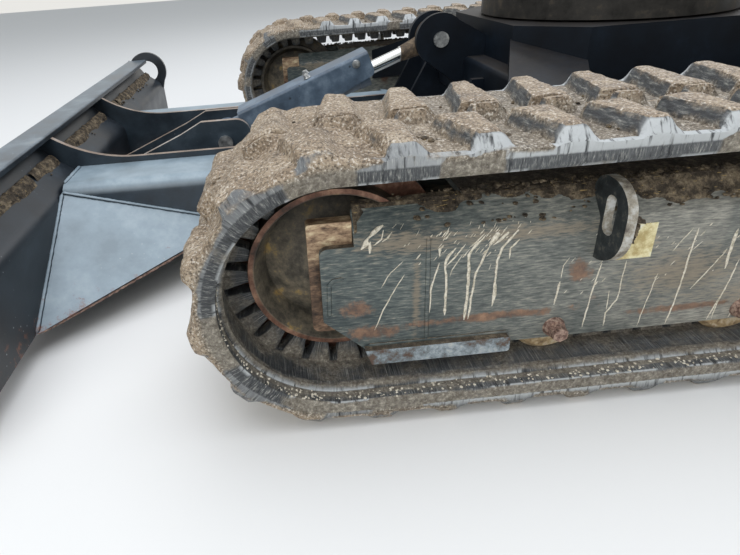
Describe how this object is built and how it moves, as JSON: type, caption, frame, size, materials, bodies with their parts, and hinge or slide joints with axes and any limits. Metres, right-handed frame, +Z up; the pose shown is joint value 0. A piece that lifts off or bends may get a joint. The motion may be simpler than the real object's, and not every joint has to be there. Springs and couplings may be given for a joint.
{
  "type": "mini excavator undercarriage with dozer blade",
  "caption": "Rubber-tracked lower frame of a mini excavator with a slewing ring on top and a dozer blade raised by one guarded hydraulic cylinder.",
  "frame": {"origin": "centre of the slewing ring, in the top face of its turning race, which carries the upper structure", "axes": "+X forward towards the blade, +Y to the machine's left, +Z up along the slewing axis"},
  "size_m": [2.5859, 1.78, 0.5808],
  "materials": {
    "track_rubber": "dusty",
    "frame_paint": "worn, splashed",
    "running_steel": "dirty, rusted",
    "motor_casting": "worn",
    "pin_steel": "worn",
    "race_steel": "machined",
    "swivel_steel": "machined",
    "blade_paint": "worn",
    "edge_steel": "worn",
    "cylinder_paint": "worn",
    "chrome_rod": "polished"
  },
  "bodies": {
    "lower_frame": {"track_left": "track_rubber", "track_right": "track_rubber", "track_frames": "frame_paint", "tie_down_rings": "frame_paint", "centre_box": "frame_paint", "front_legs": "frame_paint", "rear_legs": "frame_paint", "belly_cover": "frame_paint", "blade_pivot_ears": "frame_paint", "cylinder_bracket": "frame_paint", "idlers": "running_steel", "idler_yokes": "running_steel", "bottom_rollers": "running_steel", "top_rollers": "running_steel", "sprockets": "running_steel", "travel_motors": "motor_casting", "arm_pins": "pin_steel", "rod_pin": "pin_steel", "slew_inner_race": "race_steel", "swivel_joint": "swivel_steel"},
    "turning_race": {"slew_outer_race": "race_steel"},
    "blade": {"mouldboard": "blade_paint", "blade_box": "blade_paint", "top_bar": "blade_paint", "cutting_edge": "edge_steel", "end_plates": "blade_paint", "blade_arms": "blade_paint", "arm_side_plates": "blade_paint", "gussets": "blade_paint", "cylinder_ears": "blade_paint", "barrel_pin": "pin_steel"},
    "cylinder_barrel": {"cylinder_tube": "cylinder_paint", "cylinder_guard": "blade_paint"},
    "cylinder_rod": {"rod": "chrome_rod"}
  },
  "joints": [
    {"name": "slew", "type": "hinge", "parent": "lower_frame", "child": "turning_race", "pos_m": [0, 0, 0], "axis": [0, 0, 1], "continuous": true},
    {"name": "blade_lift", "type": "hinge", "parent": "lower_frame", "child": "blade", "pos_m": [0.47, 0, -0.375], "axis": [0, -1, 0], "range_deg": [-25, 20]},
    {"name": "barrel_swing", "type": "hinge", "parent": "blade", "child": "cylinder_barrel", "pos_m": [1.05205, 0, -0.325], "axis": [0, -1, 0], "range_deg": [-3.74, 4.67]},
    {"name": "rod_stroke", "type": "slide", "parent": "cylinder_barrel", "child": "cylinder_rod", "axis": [-0.9369, 0, 0.3497], "range_m": [-0.08574, 0.10711]}
  ],
  "couplings": [
    {"joint": "barrel_swing", "follows": "blade_lift", "ratio": -0.18606},
    {"joint": "rod_stroke", "follows": "blade_lift", "m_per_rad": -0.24478}
  ]
}
